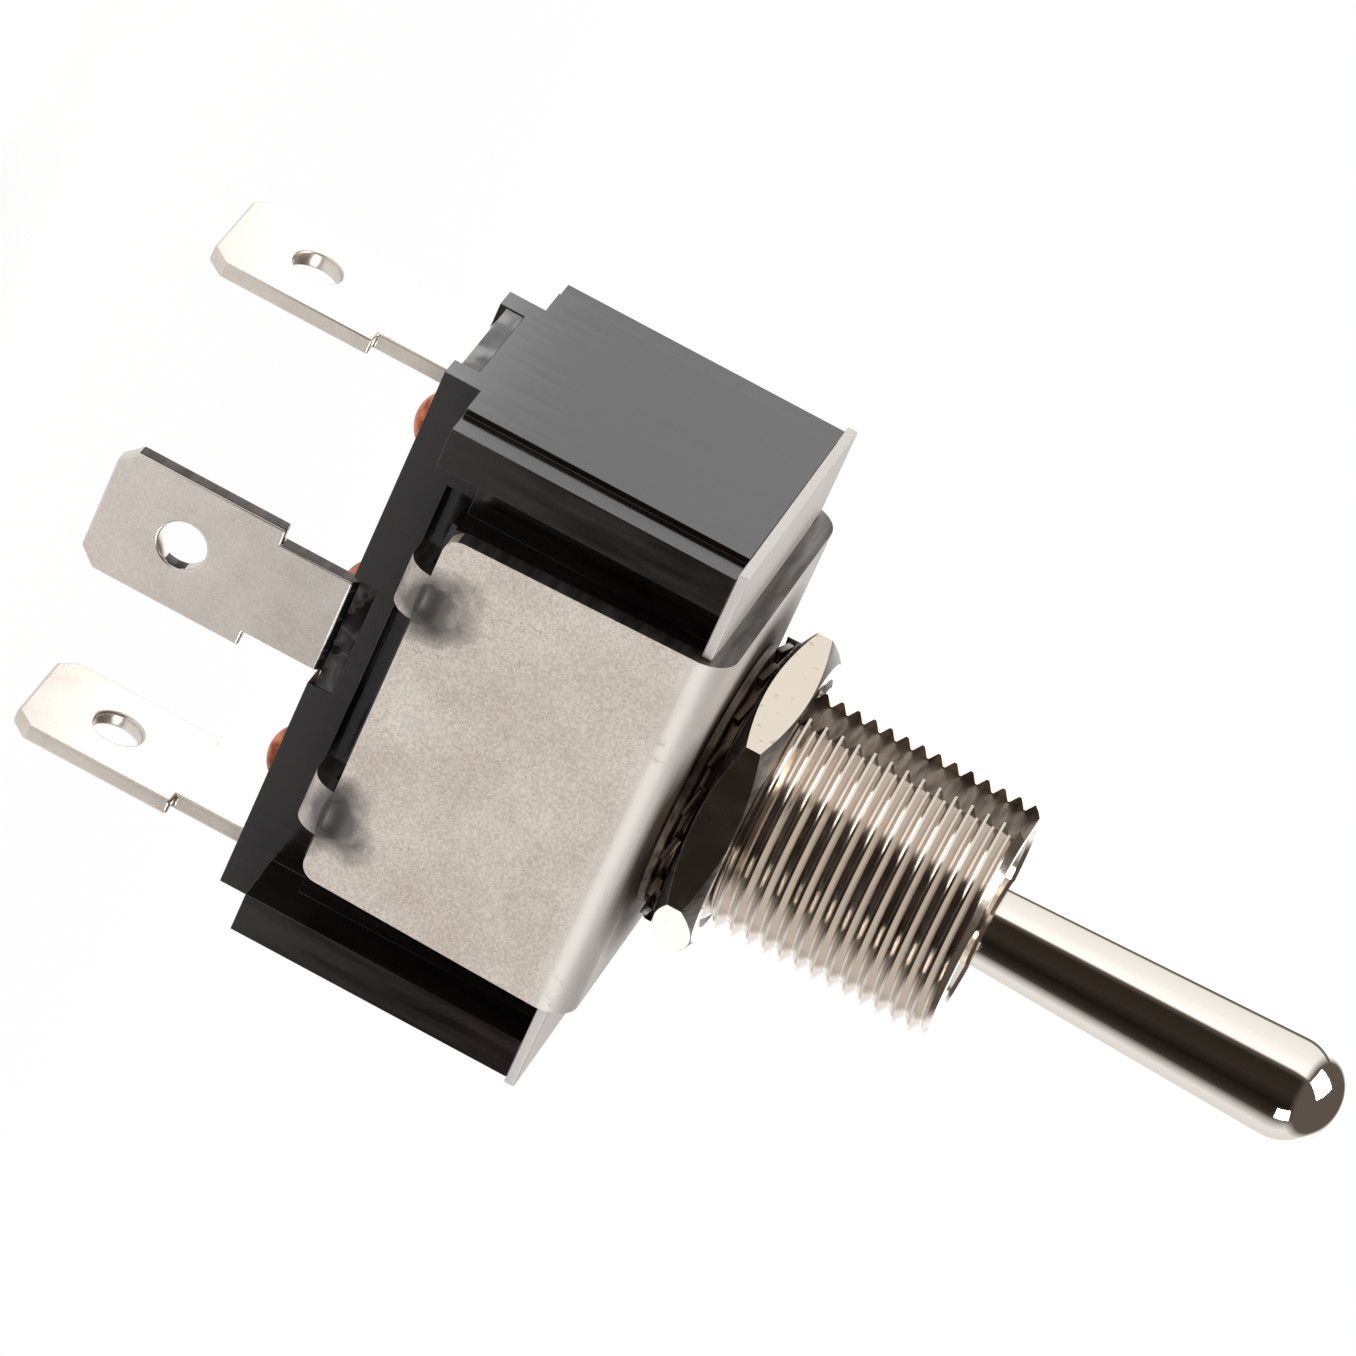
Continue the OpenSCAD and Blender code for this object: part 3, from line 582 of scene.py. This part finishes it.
# lever: a tapered bat with a round end, a ball on its pin and a hollow stem for the plunger
leverPlan = {"batRadius": 2.65, "neckRadius": 2.1, "neckTop": 14.0, "pivot": 4.2, "ball": 3.32,
             "stem": 1.75, "stemEnd": -4.42, "stemEdge": 0.1, "bore": 1.05, "boreTop": 2.2,
             "pinHole": 0.85, "pinSteps": 48, "arcSteps": 24, "roundSteps": 160,
             "smoothAngle": 35}


def makeLever(plan):
    bat = boxOf("lever")[1].z - plan["batRadius"]
    waist = math.degrees(math.asin(plan["neckRadius"] / plan["ball"]))
    stemTurn = math.degrees(math.asin(plan["stem"] / plan["ball"]))
    outline = [(0, plan["boreTop"]), (plan["bore"], plan["boreTop"]),
               (plan["bore"], plan["stemEnd"]),
               (plan["stem"] - plan["stemEdge"], plan["stemEnd"]),
               (plan["stem"], plan["stemEnd"] + plan["stemEdge"])]
    outline += arcPoints((0, plan["pivot"]), plan["ball"], -90 + stemTurn, 90 - waist,
                         plan["arcSteps"])
    outline += [(plan["neckRadius"], plan["neckTop"])]
    outline += arcPoints((0, bat), plan["batRadius"], 0, 90, plan["arcSteps"])
    shaft = lathe("batLever", outline, plan["roundSteps"])
    combine(shaft, addPrimitive("cylinder", "pinTool", at=(0, 0, plan["pivot"]), turn=(90, 0, 0),
                                vertices=plan["pinSteps"], radius=plan["pinHole"] * mm,
                                depth=10 * mm))
    smooth(shaft, plan["smoothAngle"])
    finishPiece(shaft, "lever", finishes["lever"], "lever_plate", "lever")


makeLever(leverPlan)
note("lever")


# hexagon nut, chamfered on both faces, with a countersunk bore
nutPlan = {"flats": 13.8, "turn": 45, "bore": 5.87, "countersink": 0.25, "sinkPast": 0.4,
           "skim": 0.05,  # the chamfer starts this far inside the flats
           "chamferSteps": 100, "boreSteps": 96, "edge": 0.07, "edgeSteps": 3, "edgeAngle": 25}


def makeNut(plan):
    low, high = (corner.z for corner in boxOf("hex_nut"))
    across, skim = plan["flats"] / 2, plan["skim"]
    corner = across / math.cos(math.radians(30))
    fall = (corner - across) * math.tan(math.radians(30))
    nut = addPrimitive("cylinder", "hexagonNut", at=(0, 0, (low + high) / 2),
                       turn=(0, 0, plan["turn"] - 30), vertices=6, radius=corner * mm,
                       depth=(high - low) * mm)
    combine(nut, lathe("nutTool", [
        (0, low - hair), (across - skim, low - hair), (corner + skim, low + fall),
        (corner + skim, high - fall), (across - skim, high + hair), (0, high + hair)],
        plan["chamferSteps"]), "INTERSECT")
    bore, sink, past = plan["bore"], plan["countersink"], plan["sinkPast"]
    combine(nut, lathe("nutBore", [
        (0, low - past), (bore + sink + past, low - past), (bore, low + sink),
        (bore, high - sink), (bore + sink + past, high + past), (0, high + past)],
        plan["boreSteps"]))
    softenEdges(nut, plan["edge"], segments=plan["edgeSteps"], angle=plan["edgeAngle"])
    finishPiece(nut, "nut", finishes["nut"], "nut_plate", "hex_nut")
    # the nut's chamfers and rounded edges are painted dark, as shade
    repaint(nut, finishes["shadedCut"], lambda centre, normal: 0.05 < abs(normal.z) < 0.98)


makeNut(nutPlan)
note("nut")


# lock washer: a thin ring whose teeth are each twisted a little
washerPlan = {"ring": 6.45, "bore": 5.87, "ringThickness": 0.4, "ringSteps": 108, "teeth": 18,
              "toothWidth": 1.35, "toothThinner": 0.8, "toothRoot": 0.25, "twist": 11,
              "edge": 0.03}


def makeWasher(plan):
    low, high = boxOf("lock_washer")
    middle, half = (low.z + high.z) / 2, plan["ringThickness"] / 2
    ring = lathe("lockWasher", [
        (plan["bore"], middle - half), (plan["ring"], middle - half),
        (plan["ring"], middle + half), (plan["bore"], middle + half),
        (plan["bore"], middle - half)], plan["ringSteps"])
    reach, wide, thin = high.x, plan["toothWidth"] / 2, half * plan["toothThinner"]
    for count in range(plan["teeth"]):
        tooth = addBox("tooth", (plan["ring"] - plan["toothRoot"], -wide, middle - thin),
                       (reach, wide, middle + thin))
        startEdit(tooth)
        selectFaces(tooth, lambda centre, normal: normal.x > 0.9)
        bpy.ops.transform.rotate(value=math.radians(plan["twist"]), orient_axis="X",
                                 center_override=(reach * mm, 0, middle * mm))
        endEdit()
        tooth.rotation_euler.z = math.radians(360 * (count + 0.5) / plan["teeth"])
        pick(tooth)
        bpy.ops.object.transform_apply(location=True, rotation=True, scale=True)
        combine(ring, tooth, "UNION")
    softenEdges(ring, plan["edge"])
    finishPiece(ring, "washer", finishes["washer"], "washer_steel", "lock_washer")


makeWasher(washerPlan)
note("lock washer")


# moulded and stamped pieces: the solids with their edges broken as the tools leave them, each
# with its name, finish, slot, width of the broken edge and finish where it was cut, which is
# painted dark as shade
brokenEdges = {
    "housing": ("caseMoulding", "phenolic", "phenolic", 0.12, ""),
    "frame": ("steelFrame", "sheet", "frame_steel", 0.12, "shadedCut"),
    "cover_plate": ("coverPlate", "sheet", "cover_steel", 0.08, ""),
    "common_terminal": ("commonBlade", "tin", "tinned_brass", 0.2, "darkShadedCut"),
    "right_terminal": ("rightBlade", "tin", "tinned_brass", 0.2, ""),
    "left_terminal": ("leftBlade", "tin", "tinned_brass", 0.2, ""),
}
epoxyFoot = -17.4  # the common blade's faces above here, at its root by the case, are painted in the epoxy's black
for node, (name, finish, slot, width, cut) in brokenEdges.items():
    piece = copyOfNode(node, name)
    softenEdges(piece, width, segments=3)
    finishPiece(piece, "body", finishes[finish], slot, node)
    if cut:
        # the cut edges that face along X are painted dark, as shade
        repaint(piece, finishes[cut], lambda centre, normal: abs(normal.x) > 0.9)
    if node == "common_terminal":
        repaint(piece, finishes["epoxy"],
                lambda centre, normal: centre.z > epoxyFoot and abs(normal.z) > 0.3)
note("case, frame and terminals")


# inner and small solids keep their shape and get their finish
nodeFinishes = {
    "lever_pin": "steel", "plunger": "brass", "plunger_spring": "steel", "rocker": "brass",
    "rocker_contacts": "silver", "fulcrum": "brass", "right_contact": "silver",
    "left_contact": "silver", "common_rivet": "copper", "right_rivet": "copper",
    "left_rivet": "copper", "terminal_sealant": "epoxy",
}
for node, finish in nodeFinishes.items():
    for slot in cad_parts[node].material_slots:
        slot.material = finishes[finish]
note("inner pieces")


# floor and backdrop: levels are the brightness round the object, in degrees from the camera's
# side, and under warmBelow they turn to the brown of a dark room
studioPlan = {
    "floorHeight": -40, "floorRadius": 220, "floorColour": "#efedeb", "floorGlow": 0.85,
    "glowFrom": 57, "glowReach": 190, "facing": -122,
    "levels": [(-180, 1.5), (-135, 2), (-108, 1.7), (-106, 0.15), (-100, 0.15), (-97, 0.95),
               (-60, 1.05), (-29, 1.3), (-24, 0.12), (-15, 0.028), (20, 0.035), (45, 0.012),
               (66, 0.03), (76, 0.06), (91, 0.55), (106, 0.9), (142, 0.8), (150, 1.3),
               (158, 1.3), (166, 0.95), (180, 1.3)],
    "warmBelow": 0.3, "warmth": 0.25,
    "overhead": "#453f3a", "overheadFrom": 0.42, "overheadTo": 0.6,
}


def makeFloor(plan):
    floor = addPrimitive("circle", "floor", at=(0, 0, plan["floorHeight"]), vertices=96,
                         radius=plan["floorRadius"] * mm, fill_type="NGON")
    material, tree, shader, place = startMaterial("paleFloor", plan["floorColour"], 0, 0.8)
    path = addNode(tree, "LightPath")
    metal = addNode(tree, "Math", {0: path.outputs["Is Camera Ray"],
                                   1: path.outputs["Is Glossy Ray"]})
    shown = addNode(tree, "Math", {0: metal, 1: path.outputs["Is Transmission Ray"]},
                    use_clamp=True)
    far = addNode(tree, "VectorMath", {0: place}, operation="LENGTH")
    white = addNode(tree, "MapRange", {"Value": far.outputs["Value"],
                                       "From Min": plan["glowFrom"] * mm,
                                       "From Max": plan["glowReach"] * mm,
                                       "To Min": plan["floorGlow"], "To Max": 1})
    seen = addNode(tree, "Math", {0: shown, 1: white}, operation="MULTIPLY")
    glow = addNode(tree, "Emission", {"Color": "#ffffff"})
    blend = addNode(tree, "MixShader", {0: seen, 1: shader, 2: glow})
    tree.links.new(blend.outputs[0], tree.nodes["Material Output"].inputs["Surface"])
    floor.data.materials.append(material)


def makeWorld(plan):
    world = bpy.data.worlds.new("studio")
    bpy.context.scene.world = world
    world.use_nodes = True
    tree = world.node_tree
    tree.nodes.clear()
    look = addNode(tree, "TexCoord").outputs["Generated"]
    turned = addNode(tree, "Mapping", {"Vector": look,
                                       "Rotation": (0, 0, math.radians(-plan["facing"]))})
    around = addNode(tree, "TexGradient", {"Vector": turned}, gradient_type="RADIAL")
    brightest = max(level for angle, level in plan["levels"])
    stops = []
    for angle, level in plan["levels"]:
        warmth = plan["warmth"] * max(0, 1 - level / plan["warmBelow"])
        parts = [level / brightest * (1 - warmth) ** power for power in (0, 1, 2)]
        stops.append((angle / 360 + 0.5, parts + [1]))
    band = addNode(tree, "ValToRGB", {"Fac": around}, stops)
    high = addNode(tree, "SeparateXYZ", {"Vector": look})
    above = addNode(tree, "MapRange", {"Value": high.outputs["Z"],
                                       "From Min": plan["overheadFrom"],
                                       "From Max": plan["overheadTo"]})
    level = addNode(tree, "Mix", {0: above, 6: band, 7: plan["overhead"]}, data_type="RGBA")
    studio = addNode(tree, "Background", {"Color": level.outputs[2], "Strength": brightest})
    white = addNode(tree, "Background", {"Color": "#ffffff", "Strength": 1.0})
    path = addNode(tree, "LightPath")
    blend = addNode(tree, "MixShader", {0: path.outputs["Is Camera Ray"], 1: studio, 2: white})
    addNode(tree, "OutputWorld", {"Surface": blend})


# square softboxes that face the origin, in degrees, millimetres and watts
lampPlan = {
    "topSoftbox": {"azimuth": -170, "elevation": 62, "distance": 420, "width": 260,
                   "watts": 1.6, "mirrored": True},
    "sideSoftbox": {"azimuth": -30, "elevation": 25, "distance": 420, "width": 220,
                    "watts": 0.7, "mirrored": False},
    "plateSoftbox": {"azimuth": -58, "elevation": 22, "distance": 420, "width": 160,
                     "watts": 0.75, "mirrored": True},
    "bladeSoftbox": {"azimuth": 122, "elevation": -24, "distance": 110, "width": 36,
                     "watts": 0.012, "mirrored": True},
}


def addLamp(name, plan):
    a, e = math.radians(plan["azimuth"]), math.radians(plan["elevation"])
    back = Vector((math.cos(a) * math.cos(e), math.sin(a) * math.cos(e), math.sin(e)))
    data = bpy.data.lights.new(name, "AREA")
    data.shape = "SQUARE"
    data.size = plan["width"] * mm
    data.energy = plan["watts"]
    lamp = bpy.data.objects.new(name, data)
    bpy.context.scene.collection.objects.link(lamp)
    lamp.location = back * plan["distance"] * mm
    lamp.visible_glossy = plan["mirrored"]
    lamp.rotation_euler = back.to_track_quat("Z", "Y").to_euler()


makeFloor(studioPlan)
makeWorld(studioPlan)
for name, plan in lampPlan.items():
    addLamp(name, plan)
bpy.context.scene.view_settings.view_transform = "Standard"
note("studio")
